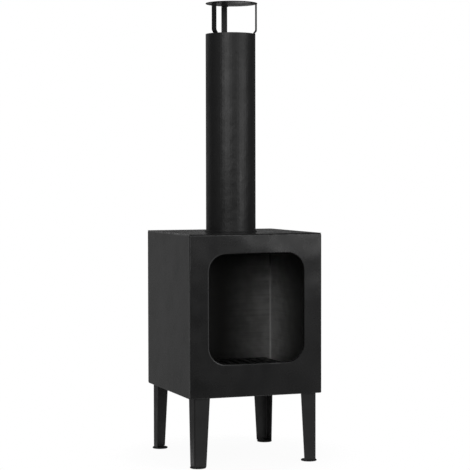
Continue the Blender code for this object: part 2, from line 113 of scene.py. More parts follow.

# From which share of the firebox's height up the edges get more wear and painted highlight and the seams their
# painted shadow, how much of the wear and highlight the low edges get, how dark the painted shadow in the seams is,
# and how far the opening's right edge is made near-black metal, a painted shade that dims its reflections
UPPER_MARK_FOOT = 0.6
LOW_WEAR_AND_HIGHLIGHT = 0.3
SEAM_SHADE = 0.1
DIMMED_LIP = 0.75

# Bare steel inside, laid out as painted light: where it comes in as shares of the half width, how sharply it grows
# sideways and backwards, and how much of it is plain, blotched and marked by rolling
BARE_AND_LIT_WIDTHS = (0.10, 1.05)
BARE_AND_LIT_POWERS = (1.3, 1.9)
BARE_PLAIN = 0.60
BARE_BLOTCHED = 0.25
BARE_ROLLED = 0.6

# How much of the waves and the clouds the shell's sides keep
SIDE_WAVES = 0.25
SIDE_CLOUDS = 0.5

# How far streaks on the pipe and rolling marks in the steel are drawn out along each axis
STREAK_STRETCH = (1, 1, 33)
ROLLED_STRETCH = (30, 30, 1)

# Over which values of a noise from 0 to 1 its patches come in
CLOUD_EDGES = (0.3, 0.7)
NIB_EDGES = (0.70, 0.80)
WORN_AND_LIT_EDGES = (0.25, 0.65)
SPOT_EDGES = (0.45, 0.75)

# A finish's darkest and lightest shade, and the soot and painted shade on the welds' tops, as factors of their
# colours
PAINT_SHADES = (0.5, 1.6)
GRATE_SHADES = (0.7, 1.4)
BOLT_SHADES = (0.7, 2.0)
WELD_SHADES = (0.8, 1.1)
WELD_SOOT_SHADE = 0.2

# Where plain paint lies between its shades, and how much lighter its nibs are
PLAIN_TINT = 0.45
NIB_TINT = 0.3

# Roughness of the bolts and welds, how much duller painted beads are than the shell, and what each mark changes
BOLT_ROUGHNESS = 0.38
WELD_ROUGHNESS = 0.36
BEAD_DULLER = 0.06
CLOUD_DULLER = 0.14
PEEL_DULLER = 0.05
NIB_DULLER = 0.12
RUB_SMOOTHER = 0.10
SEAM_DULLER = 0.5
ROLLED_DULLER = 0.2
SCALE_DULLER = 0.2
SPOT_DULLER = 0.3
TARNISH_DULLER = 0.2

# How metallic the weld metal looks under its pale colour, which is partly a painted highlight
WELD_METALLIC = 0.2

# How far the peel and the nibs stand out, as shares of the peel's depth
PEEL_RELIEF = 0.7
NIB_RELIEF = 0.5

# Sizes and depths of the finer textures
WEAR_AND_HIGHLIGHT_SIZE = 0.012
SCALE_SIZE = 0.020
SKIN_SIZE = 0.0014
SKIN_DEPTH = 0.00006
SPOT_SIZE = 0.002
ETCH_SIZE = 0.0005
ETCH_DEPTH = 0.00001
TARNISH_SIZE = 0.010
RIPPLE_SIZE = 0.0008
RIPPLE_DEPTH = 0.00002

# The reflected room: over which turns from -Y, in degrees, each zone comes in and goes out
WALL_END = (-144, -136)
LEFT_ZONE = ((-104, -96), (-64, -56))
DARK_ZONE = ((-64, -56), (16, 26))
FRONT_ZONE = ((-24, -16), (18, 26))
RIGHT_ZONE = ((16, 26), (56, 64))

# The same for heights, as the sine of the tilt, and the backdrop's outer and inner angle in degrees
FRONT_HEIGHTS = ((-0.02, 0.02), (0.68, 0.72))
WALL_FOOT = (-0.25, -0.10)
BACKDROP_ANGLES = (6, 2)

# Inputs and outputs of the colour form of the Mix node
MIX_FACTOR = 0
MIX_FIRST = 6
MIX_SECOND = 7
MIX_COLOUR = 2


class Shade:
    """One output in a shader, which takes part in sums the way a number does."""

    def __init__(self, graph, socket):
        self.graph = graph
        self.socket = socket

    def reckon(self, operation, *terms):
        return self.graph.node("ShaderNodeMath", {"operation": operation}, dict(enumerate(terms)))

    def __add__(self, other):
        return self.reckon("ADD", self, other)

    def __radd__(self, other):
        return self.reckon("ADD", other, self)

    def __sub__(self, other):
        return self.reckon("SUBTRACT", self, other)

    def __rsub__(self, other):
        return self.reckon("SUBTRACT", other, self)

    def __mul__(self, other):
        return self.reckon("MULTIPLY", self, other)

    def __rmul__(self, other):
        return self.reckon("MULTIPLY", other, self)

    def __pow__(self, other):
        return self.reckon("POWER", self, other)

    def __rpow__(self, other):
        return self.reckon("POWER", other, self)

    def __abs__(self):
        return self.reckon("ABSOLUTE", self)


class Graph:
    """The nodes of one material or world, which start empty."""

    def __init__(self, owner):
        owner.use_nodes = True
        self.tree = owner.node_tree
        self.tree.nodes.clear()

    def node(self, kind, settings=None, sockets=None, output=0):
        """Add a node, set it up, then give its sockets values or links. Returns one of its outputs."""
        made = self.tree.nodes.new(kind)
        for setting, value in (settings or {}).items():
            setattr(made, setting, value)
        for name, value in (sockets or {}).items():
            if isinstance(value, Shade):
                self.tree.links.new(value.socket, made.inputs[name])
            else:
                made.inputs[name].default_value = value
        return Shade(self, made.outputs[output]) if made.outputs else None

    def split(self, place):
        """The three numbers of a place."""
        first = self.node("ShaderNodeSeparateXYZ", {}, {"Vector": place})
        return [Shade(self, output) for output in first.socket.node.outputs]

    def speckle(self, place, size, detail=2.0):
        """Noise from 0 to 1 in patches of about the given size."""
        return self.node("ShaderNodeTexNoise", {}, {"Vector": place, "Scale": 1 / size, "Detail": detail})

    def streaks(self, place, size, stretch, detail=2.0):
        """Noise from 0 to 1 in patches of the given size, drawn out along the axes where the stretch is over 1."""
        scale = tuple(1 / factor for factor in stretch)
        return self.speckle(self.node("ShaderNodeMapping", {}, {"Vector": place, "Scale": scale}), size, detail)

    def between(self, value, start, end):
        """0 before start and 1 after end, with a soft step between."""
        return self.node(
            "ShaderNodeMapRange",
            {"interpolation_type": "SMOOTHSTEP"},
            {"Value": value, "From Min": start, "From Max": end},
        )

    def within(self, value, zone):
        """1 inside a zone and 0 outside, with a soft step at its start and its end."""
        start, end = zone
        return self.between(value, *start) * (1 - self.between(value, *end))

    def blend(self, share, first, second):
        """The first colour where the share is 0 and the second where it is 1."""
        return self.node(
            "ShaderNodeMix",
            {"data_type": "RGBA"},
            {MIX_FACTOR: share, MIX_FIRST: first, MIX_SECOND: second},
            MIX_COLOUR,
        )

    def shades(self, share, colour, factors):
        """A colour's darkest shade where the share is 0 and its lightest where it is 1."""
        dark, light = factors
        return self.blend(share, solid_colour(colour, dark), solid_colour(colour, light))

    def bump(self, height, depth, under=None):
        """A relief of the given depth, on top of another one where there is one."""
        sockets = {"Height": height, "Distance": depth}
        return self.node("ShaderNodeBump", {}, sockets if under is None else {**sockets, "Normal": under})

    def finish(self, sockets):
        """End a material in one painted or metal surface."""
        surface = self.node("ShaderNodeBsdfPrincipled", {}, sockets)
        self.node("ShaderNodeOutputMaterial", {}, {"Surface": surface})


def new_material(name):
    """An empty material, its graph, and the place on the piece."""
    material = bpy.data.materials.new(name)
    graph = Graph(material)
    return material, graph, graph.node("ShaderNodeTexCoord", output="Object")


def solid_colour(colour, factor=1.0):
    """A colour property as four numbers, lightened or darkened by a factor."""
    return (*(part * factor for part in colour), 1.0)


def outer_edges(graph, axes, band):
    """1 along the firebox's outer edges and 0 on its flat faces."""
    x, y, z = axes
    middle = (shell_low.z + wall_high.z) / 2
    reach = wall_high.z - middle
    near_x = graph.between(abs(x), shell_high.x - band, shell_high.x)
    near_y = graph.between(abs(y), -shell_low.y - band, -shell_low.y)
    near_z = graph.between(abs(z - middle), reach - band, reach)
    return near_x * near_y + near_y * near_z + near_x * near_z


def front_seam(graph, axes, band):
    """1 on the shell's sides just behind the front panel and 0 further back."""
    behind = axes[1] - (shell_low.y + sheet)
    return graph.within(behind, ((0.0, MASK_STEP), (0.6 * band, band)))


def opening_outline():
    """The fire opening's middle height, half sizes and corner radius, from the lip that is turned in round it."""
    points = [vertex.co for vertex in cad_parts["front_panel"].data.vertices]
    inner_height = (shell_high.z - shell_low.z) * LIP_REGION[1]
    middle = (shell_low.z + shell_high.z) / 2
    lip = [
        point for point in points
        if point.y > shell_low.y + 2 * sheet and abs(point.x) < LIP_REGION[0] * shell_high.x
        and abs(point.z - middle) < inner_height
    ]
    lowest = min(point.z for point in lip) + sheet
    highest = max(point.z for point in lip) - sheet
    widest = max(point.x for point in lip) - sheet
    flat = max(point.x for point in lip if point.z < lowest - sheet / 2)
    return (lowest + highest) / 2, widest, (highest - lowest) / 2, widest - flat


def opening_edge(graph, axes, width):
    """1 on the bend round the fire opening and 0 away from it."""
    middle, half_width, half_height, radius = opening_outline()
    along = abs(axes[0]) - (half_width - radius)
    up = abs(axes[2] - middle) - (half_height - radius)
    corner = (along.reckon("MAXIMUM", along, 0.0) ** 2 + up.reckon("MAXIMUM", up, 0.0) ** 2) ** 0.5
    side = along.reckon("MAXIMUM", along, up)
    reach = corner + side.reckon("MINIMUM", side, 0.0) - radius
    near = 1 - graph.between(abs(reach), width * 0.4, width)
    return near * (1 - graph.between(axes[1], shell_low.y + FRONT_REACH, shell_low.y + 2 * FRONT_REACH))


def fire_side(graph, axes):
    """1 on the shell's faces inside the firebox and 0 on its outer faces."""
    x, y, z = axes
    lip_end = shell_low.y + LIP_DEPTH
    walls = 1 - graph.between(abs(x), inside_high.x, inside_high.x + MASK_STEP)
    back = 1 - graph.between(y, back_inside, back_inside + MASK_STEP)
    front = graph.between(y, lip_end + LIP_FADE[0], lip_end + LIP_FADE[1])
    roof = 1 - graph.between(z, top_low.z, top_low.z + MASK_STEP)
    return walls * back * front * roof


def below_smoke_and_shade(graph, z, shares):
    """1 low in the firebox, fading towards the roof, where the soot and the painted shade under the roof lie,
    between two shares of its height.
    """
    height = shell_high.z - shell_low.z
    return 1 - graph.between(z, *(shell_low.z + share * height for share in shares))


def bare_and_lit_share(graph, axes):
    """How bare and how lit the steel inside is, as painted light and shade: most in the low back corners, least in
    the middle and under the roof.
    """
    x, y, z = axes
    back = -shell_low.y
    sideways = graph.between(abs(x), *(share * shell_high.x for share in BARE_AND_LIT_WIDTHS))
    backwards = graph.between(y, -back, back)
    return sideways ** BARE_AND_LIT_POWERS[0] * backwards ** BARE_AND_LIT_POWERS[1] * below_smoke_and_shade(graph, z, STEEL_SOOT_AND_SHADE)


def shell_wear_and_painted_light(graph, place, axes, blotches, colour, roughness, shade, sheen):
    """Edges lightened by wear and a painted highlight and seams darkened by a painted shadow outside, the opening's
    edge given a painted highlight on the left and painted shade on the right, and steel inside laid out as painted
    light and shade.

    Takes the paint's shade and sheen, and gives back the shade with its wear and painted light, the sheen, and the
    share of metal.
    """
    paint = bpy.context.scene.fireplace_paint
    rubbed_highlight_paint = solid_colour(paint.rubbed_highlight_colour)
    # The outer edges are lightened by wear and by a painted highlight, more towards the top
    worn_and_lit_patches = graph.between(graph.speckle(place, WEAR_AND_HIGHLIGHT_SIZE, 3.0), *WORN_AND_LIT_EDGES)
    high = graph.between(axes[2], shell_low.z + UPPER_MARK_FOOT * (shell_high.z - shell_low.z), shell_high.z)
    rubbed = outer_edges(graph, axes, paint.edge_band) * worn_and_lit_patches * (LOW_WEAR_AND_HIGHLIGHT + (1 - LOW_WEAR_AND_HIGHLIGHT) * high)
    shade = graph.blend(rubbed * paint.edge_rub_and_highlight, shade, rubbed_highlight_paint)
    # Painted shadow in the gap behind the front panel, high up on the sides
    seam = front_seam(graph, axes, paint.seam_band) * high
    shade = graph.blend(seam * paint.seam_shadow, shade, solid_colour(colour, SEAM_SHADE))
    # Painted highlight on the opening's left edge; its right edge is made near-black metal, a painted shade that
    # dims its reflections
    lip = opening_edge(graph, axes, paint.lip_band)
    leftward = graph.between(axes[0], 0.0, shell_low.x)
    shade = graph.blend(lip * leftward * paint.lip_highlight, shade, rubbed_highlight_paint)
    dimmed_lip = lip * (1 - leftward) * DIMMED_LIP
    # The steel inside is bare metal and soot, laid out as painted light and shade: lighter in the low back corners,
    # darker in the middle and under the roof
    inside = fire_side(graph, axes)
    rolled = graph.streaks(place, paint.rolling_size, ROLLED_STRETCH, 3.0)
    bare = bare_and_lit_share(graph, axes) * (BARE_PLAIN + blotches * BARE_BLOTCHED + rolled * BARE_ROLLED)
    steel = graph.blend(bare, solid_colour(paint.soot_and_shade_colour), solid_colour(paint.bare_and_lit_steel_colour))
    shade = graph.blend(inside, shade, steel)
    sheen = sheen - rubbed * RUB_SMOOTHER
    sheen = sheen + inside * (paint.steel_roughness - roughness + (rolled - 0.5) * ROLLED_DULLER)
    return shade, sheen + seam * SEAM_DULLER, inside.reckon("MAXIMUM", inside, dimmed_lip)


def satin_paint(name, colour, roughness, streak=0.0, dents=0.0, shell=False):
    """Sprayed heat-resistant paint: fine peel, cloudy sheen, small nibs, and a slight wave in the sheet."""
    paint = bpy.context.scene.fireplace_paint
    material, graph, place = new_material(name)
    clouds = graph.between(graph.speckle(place, paint.cloud_size, 2.0), *CLOUD_EDGES)
    blotches = graph.between(graph.speckle(place, paint.blotch_size, 3.0), *CLOUD_EDGES)
    peel = graph.speckle(place, paint.peel_size, 1.0)
    nibs = graph.between(graph.speckle(place, paint.grain_size, 0.0), *NIB_EDGES)
    cloudy = clouds * 0.5 + blotches * 0.5 - 0.5
    wave_share = 1.0
    if shell:
        axes = graph.split(place)
        front = 1 - graph.between(axes[1], shell_low.y, shell_low.y + FRONT_REACH)
        wave_share = SIDE_WAVES + (1 - SIDE_WAVES) * front
        cloudy = cloudy * (SIDE_CLOUDS + (1 - SIDE_CLOUDS) * front)
    sheen = roughness + cloudy * CLOUD_DULLER + (peel - 0.5) * PEEL_DULLER + nibs * NIB_DULLER
    tint = PLAIN_TINT - cloudy * paint.cloudiness + nibs * NIB_TINT
    if streak > 0:
        sheen = sheen + (graph.streaks(place, paint.streak_size, STREAK_STRETCH) - 0.5) * streak
    shade = graph.shades(tint, colour, PAINT_SHADES)
    metallic = 0.0
    if shell:
        shade, sheen, metallic = shell_wear_and_painted_light(graph, place, axes, blotches, colour, roughness, shade, sheen)
    moved = graph.node("ShaderNodeVectorMath", {"operation": "ADD"}, {0: place, 1: paint.wave_shift})
    swell = graph.speckle(moved, paint.wave_size, 1.0) * wave_share
    if dents > 0:
        swell = swell + graph.speckle(place, paint.dent_size, 2.0) * (dents / paint.wave_depth)
    wave = graph.bump(swell, paint.wave_depth)
    bump = graph.bump(peel * PEEL_RELIEF + nibs * NIB_RELIEF, paint.peel_depth, wave)
    graph.finish({"Base Color": shade, "Roughness": sheen, "Metallic": metallic, "Normal": bump})
    return material


def grate_paint(name):
    """Thick dull black over rolled plate, a little browned, with a coarse skin."""
    paint = bpy.context.scene.fireplace_paint
    material, graph, place = new_material(name)
    scale = graph.speckle(place, SCALE_SIZE, 4.0)
    skin = graph.speckle(place, SKIN_SIZE, 2.0)
    graph.finish({
        "Base Color": graph.shades(scale, paint.grate_colour, GRATE_SHADES),
        "Roughness": paint.grate_roughness + (scale - 0.5) * SCALE_DULLER,
        "Normal": graph.bump(skin + scale, SKIN_DEPTH),
    })
    return material


def blacked_steel(name):
    """Oiled black fasteners: dark metal with brighter rubbed spots."""
    paint = bpy.context.scene.fireplace_paint
    material, graph, place = new_material(name)
    spots = graph.speckle(place, SPOT_SIZE, 3.0)
    fine = graph.speckle(place, ETCH_SIZE, 1.0)
    graph.finish({
        "Base Color": graph.shades(graph.between(spots, *SPOT_EDGES), paint.bolt_colour, BOLT_SHADES),
        "Roughness": BOLT_ROUGHNESS + (spots - 0.5) * SPOT_DULLER,
        "Normal": graph.bump(fine, ETCH_DEPTH),
        "Metallic": 1.0,
    })
    return material


def weld_steel_and_highlight(name):
    """Weld metal left bare, rippled and a little tarnished; its pale colour is partly a painted highlight, and near
    the roof it is darkened by soot and painted shade.
    """
    paint = bpy.context.scene.fireplace_paint
    material, graph, place = new_material(name)
    tarnish = graph.speckle(place, TARNISH_SIZE, 3.0)
    ripple = graph.speckle(place, RIPPLE_SIZE, 1.0)
    # Pale weld colour, partly a painted highlight, darkened near the roof by soot and painted shade
    shade = graph.shades(tarnish, paint.weld_highlight_colour, WELD_SHADES)
    unsooted_and_lit = below_smoke_and_shade(graph, graph.split(place)[2], WELD_SOOT_AND_SHADE)
    graph.finish({
        "Base Color": graph.blend(unsooted_and_lit, solid_colour(paint.soot_and_shade_colour, WELD_SOOT_SHADE), shade),
        "Roughness": WELD_ROUGHNESS + (tarnish - 0.5) * TARNISH_DULLER,
        "Normal": graph.bump(ripple, RIPPLE_DEPTH),
        "Metallic": WELD_METALLIC,
    })
    return material


def dress(nodes, material):
    """Give CAD nodes a material."""
    for name in nodes:
        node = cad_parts[name]
        node.data.materials.clear()
        node.data.materials.append(material)


def add_piece(name, bm, material, body):
    """Turn a bmesh into a piece that rides on a body."""
    mesh = bpy.data.meshes.new(name)
    bmesh.ops.recalc_face_normals(bm, faces=bm.faces)
    bm.to_mesh(mesh)
    bm.free()
    mesh.shade_smooth()
    mesh.set_sharp_from_angle(angle=SHARP_ANGLE)
    mesh.materials.append(material)
    piece = bpy.data.objects.new(name, mesh)
    bpy.context.scene.collection.objects.link(piece)
    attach(piece, body)
    return piece


def join_rings(bm, rings, closed=False):
    """Skin a row of equal rings of points, with end caps or with the last ring joined to the first."""
    made = [[bm.verts.new(point) for point in ring] for ring in rings]
    pairs = list(zip(made, made[1:]))
    if closed:
        pairs.append((made[-1], made[0]))
    for ring, following in pairs:
        for index in range(len(ring)):
            after = (index + 1) % len(ring)
            bm.faces.new((ring[index], ring[after], following[after], following[index]))
    if not closed:
        bm.faces.new(made[0][::-1])
        bm.faces.new(made[-1])


def weld_bead(bm, path, radius):
    """A rippled bead along a row of points."""
    welds = bpy.context.scene.fireplace_welds
    points = []
    for start, end in zip(path, path[1:]):
        count = max(2, round((end - start).length / welds.ripple_pitch))
        points += [start.lerp(end, step / count) for step in range(count)]
    points.append(path[-1])
    rings = []
    for index, point in enumerate(points):
        before = points[max(index - 1, 0)]
        after = points[min(index + 1, len(points) - 1)]
        along = (after - before).normalized()
        side = along.cross(Vector((0, 0, 1)))
        side = side.normalized() if side.length > 0.1 else Vector((1, 0, 0))
        up = side.cross(along)
        ends = index in (0, len(points) - 1)
        size = radius * (BEAD_END if ends else 1.0 + welds.ripple_share * (1 if index % 2 else -1))
        rings.append([
            point + size * (math.cos(turn) * side + math.sin(turn) * up)
            for turn in (math.tau * step / welds.bead_sides for step in range(welds.bead_sides))
        ])
    join_rings(bm, rings)


def hex_radius(turn, across_flats):
    """How far a hexagon with a corner on +Y reaches in a direction."""
    sector = math.tau / 6
    return across_flats / 2 / math.cos((turn - math.pi / 2) % sector - sector / 2)


def hex_ring(height, across_flats, limit, steps):
    """A hexagon's ring of points, nowhere further out than the limit."""
    ring = []
    for step in range(steps):
        turn = math.tau * step / steps
        radius = min(hex_radius(turn, across_flats), limit)
        ring.append(Vector((radius * math.cos(turn), radius * math.sin(turn), height)))
    return ring


def round_ring(height, radius, steps):
    """A level circle of points."""
    turns = [math.tau * step / steps for step in range(steps)]
    return [Vector((radius * math.cos(turn), radius * math.sin(turn), height)) for turn in turns]


def chamfered_hex(low, high, across_flats, steps, both_ends):
    """A hexagon's rings from low to high, with its corners turned off at its free ends."""
    corner = across_flats / 2 / math.cos(math.pi / 6)
    face = across_flats * CHAMFER_FACE
    drop = (corner - face) * math.tan(CHAMFER_SLOPE)
    shares = [row / CHAMFER_ROWS for row in range(CHAMFER_ROWS + 1)]
    rows = [(low + drop * share, share) for share in shares]
    rows += [(high - drop * share, share) for share in reversed(shares)] if both_ends else [(high, 1.0)]
    return [hex_ring(height, across_flats, face + (corner - face) * share, steps) for height, share in rows]


class FireplacePaint(bpy.types.PropertyGroup):
    """Paint colours and textures."""

    body_colour: bpy.props.FloatVectorProperty(
        name="Firebox", description="Paint of the sheet-steel shell", subtype="COLOR", size=3, min=0, max=1,
        default=(0.0060, 0.0060, 0.0062),
    )
    body_roughness: bpy.props.FloatProperty(
        name="Firebox roughness", description="How dull the shell's paint is", subtype="FACTOR", min=0, max=1,
        default=0.26,
    )
    pipe_colour: bpy.props.FloatVectorProperty(
        name="Chimney", description="Paint of the pipe and the rain cap", subtype="COLOR", size=3, min=0, max=1,
        default=(0.0064, 0.0064, 0.0066),
    )
    pipe_roughness: bpy.props.FloatProperty(
        name="Chimney roughness", description="How dull the pipe's paint is", subtype="FACTOR", min=0, max=1,
        default=0.38,
    )
    leg_colour: bpy.props.FloatVectorProperty(
        name="Legs", description="Paint of the legs and their plates", subtype="COLOR", size=3, min=0, max=1,
        default=(0.0120, 0.0120, 0.0122),
    )
    leg_roughness: bpy.props.FloatProperty(
        name="Leg roughness", description="How dull the legs' paint is", subtype="FACTOR", min=0, max=1,
        default=0.45,
    )
    grate_colour: bpy.props.FloatVectorProperty(
        name="Grate", description="Dull black of the fire grate", subtype="COLOR", size=3, min=0, max=1,
        default=(0.0052, 0.0050, 0.0048),
    )
    grate_roughness: bpy.props.FloatProperty(
        name="Grate roughness", description="How dull the grate is", subtype="FACTOR", min=0, max=1, default=0.70
    )
    bolt_colour: bpy.props.FloatVectorProperty(
        name="Bolts", description="Blacked steel of the bolts and nuts", subtype="COLOR", size=3, min=0, max=1,
        default=(0.060, 0.060, 0.062),
    )
    # Light colour of the edges' wear and painted highlight, also used on the opening's left edge
    rubbed_highlight_colour: bpy.props.FloatVectorProperty(
        name="Rubbed edge", description="Paint where the shell's edges are rubbed", subtype="COLOR", size=3,
        min=0, max=1, default=(0.130, 0.130, 0.132),
    )
    # How far the outer edges get that wear and painted highlight
    edge_rub_and_highlight: bpy.props.FloatProperty(
        name="Edge rub", description="How far the shell's edges are rubbed", subtype="FACTOR", min=0, max=1,
        default=0.80,
    )
    # Width of the edges' wear and painted highlight
    edge_band: bpy.props.FloatProperty(
        name="Edge band", description="How wide the rubbed edges are", unit="LENGTH", default=0.0028
    )
    # How far the opening's left edge gets its painted highlight
    lip_highlight: bpy.props.FloatProperty(
        name="Opening rub", description="How far the edge of the fire opening is rubbed", subtype="FACTOR", min=0,
        max=1, default=0.42,
    )
    lip_band: bpy.props.FloatProperty(
        name="Opening band", description="How wide the rubbed edge of the fire opening is", unit="LENGTH",
        default=0.0040,
    )
    # Width of the painted shadow in the seams behind the front panel
    seam_band: bpy.props.FloatProperty(
        name="Seam band", description="How wide the dirt is in the seams behind the front panel", unit="LENGTH",
        default=0.0040,
    )
    # Strength of that painted shadow in the seams
    seam_shadow: bpy.props.FloatProperty(
        name="Seam dirt", description="How dark the seams behind the front panel are", subtype="FACTOR", min=0,
        max=1, default=0.95,
    )
    rolling_size: bpy.props.FloatProperty(
        name="Rolling marks", description="Height of the faint level marks in the steel", unit="LENGTH",
        default=0.005,
    )
    # Light end of the steel inside: bare metal, and painted light in the back corners
    bare_and_lit_steel_colour: bpy.props.FloatVectorProperty(
        name="Bare steel", description="Steel in the firebox's back corners", subtype="COLOR", size=3,
        min=0, max=1, default=(0.670, 0.670, 0.665),
    )
    # Dark end of the steel inside and on the welds' tops: soot, and painted shade in the middle and under the roof
    soot_and_shade_colour: bpy.props.FloatVectorProperty(
        name="Soot", description="Sooted steel in the middle of the firebox", subtype="COLOR", size=3,
        min=0, max=1, default=(0.044, 0.044, 0.043),
    )
    # Pale weld colour, partly a painted highlight along the back corners
    weld_highlight_colour: bpy.props.FloatVectorProperty(
        name="Corner welds", description="Bare weld metal in the firebox's corners", subtype="COLOR", size=3,
        min=0, max=1, default=(0.820, 0.820, 0.810),
    )
    steel_roughness: bpy.props.FloatProperty(
        name="Inside roughness", description="How dull the steel inside is", subtype="FACTOR", min=0, max=1,
        default=0.42,
    )
    cloud_size: bpy.props.FloatProperty(
        name="Clouds", description="Size of the large cloudy patches", unit="LENGTH", default=0.09
    )
    blotch_size: bpy.props.FloatProperty(
        name="Blotches", description="Size of the small cloudy patches", unit="LENGTH", default=0.028
    )
    cloudiness: bpy.props.FloatProperty(
        name="Cloudiness", description="How much the patches differ in shade", subtype="FACTOR", min=0, max=1,
        default=0.4,
    )
    wave_size: bpy.props.FloatProperty(
        name="Waves", description="Length of the slight waves in the sheet", unit="LENGTH", default=0.10
    )
    wave_depth: bpy.props.FloatProperty(
        name="Wave depth", description="Depth of the slight waves in the sheet", unit="LENGTH", default=0.0035
    )
    wave_shift: bpy.props.FloatVectorProperty(
        name="Wave shift", description="Moves the slight waves along the sheet", subtype="TRANSLATION", size=3,
        default=(0.1, 0.0, 0.1),
    )
    dent_size: bpy.props.FloatProperty(
        name="Dents", description="Size of the shallow dents in the rolled pipe", unit="LENGTH", default=0.022
    )
    dent_depth: bpy.props.FloatProperty(
        name="Dent depth", description="Depth of the shallow dents in the rolled pipe", unit="LENGTH",
        default=0.0011,
    )
    streak_size: bpy.props.FloatProperty(
        name="Streaks", description="Width of the faint streaks along the rolled pipe", unit="LENGTH", default=0.006
    )
    peel_size: bpy.props.FloatProperty(
        name="Peel", description="Size of the sprayed paint's peel", unit="LENGTH", default=0.0016
    )
    peel_depth: bpy.props.FloatProperty(
        name="Peel depth", description="Depth of the sprayed paint's peel", unit="LENGTH", default=0.000007
    )
    grain_size: bpy.props.FloatProperty(
        name="Nibs", description="Size of the dust nibs in the paint", unit="LENGTH", default=0.0009
    )


class FireplaceWelds(bpy.types.PropertyGroup):
    """Sizes of the weld beads."""

    corner_bead: bpy.props.FloatProperty(
        name="Corner bead", description="Radius of the beads in the firebox's back corners", unit="LENGTH",
        default=0.0018,
    )
    leg_bead: bpy.props.FloatProperty(
        name="Leg bead", description="Radius of the beads inside the legs", unit="LENGTH", default=0.0016
    )
    pipe_bead: bpy.props.FloatProperty(
        name="Pipe bead", description="Radius of the seam down the back of the pipe", unit="LENGTH", default=0.0010
    )
    pipe_proud: bpy.props.FloatProperty(
        name="Pipe bead height", description="How far the seam stands out", unit="LENGTH", default=0.0004
    )
    ripple_pitch: bpy.props.FloatProperty(
        name="Ripple pitch", description="Length of one ripple", unit="LENGTH", default=0.0015
    )
    ripple_share: bpy.props.FloatProperty(
        name="Ripple", description="Height of a ripple as a share of the bead", subtype="FACTOR", default=0.12
    )
    bead_sides: bpy.props.IntProperty(name="Sides", description="Sides of a bead's section", default=10, min=6)


class FireplaceFasteners(bpy.types.PropertyGroup):
    """Sizes of the bolts' details."""

    thread_pitch: bpy.props.FloatProperty(
        name="Thread pitch", description="Pitch of the bolts' thread", unit="LENGTH", default=0.001
    )
    thread_depth: bpy.props.FloatProperty(
        name="Thread depth", description="Depth of the bolts' thread", unit="LENGTH", default=0.0005
    )
    steps: bpy.props.IntProperty(name="Steps", description="Points round a bolt or a nut", default=36, min=12)


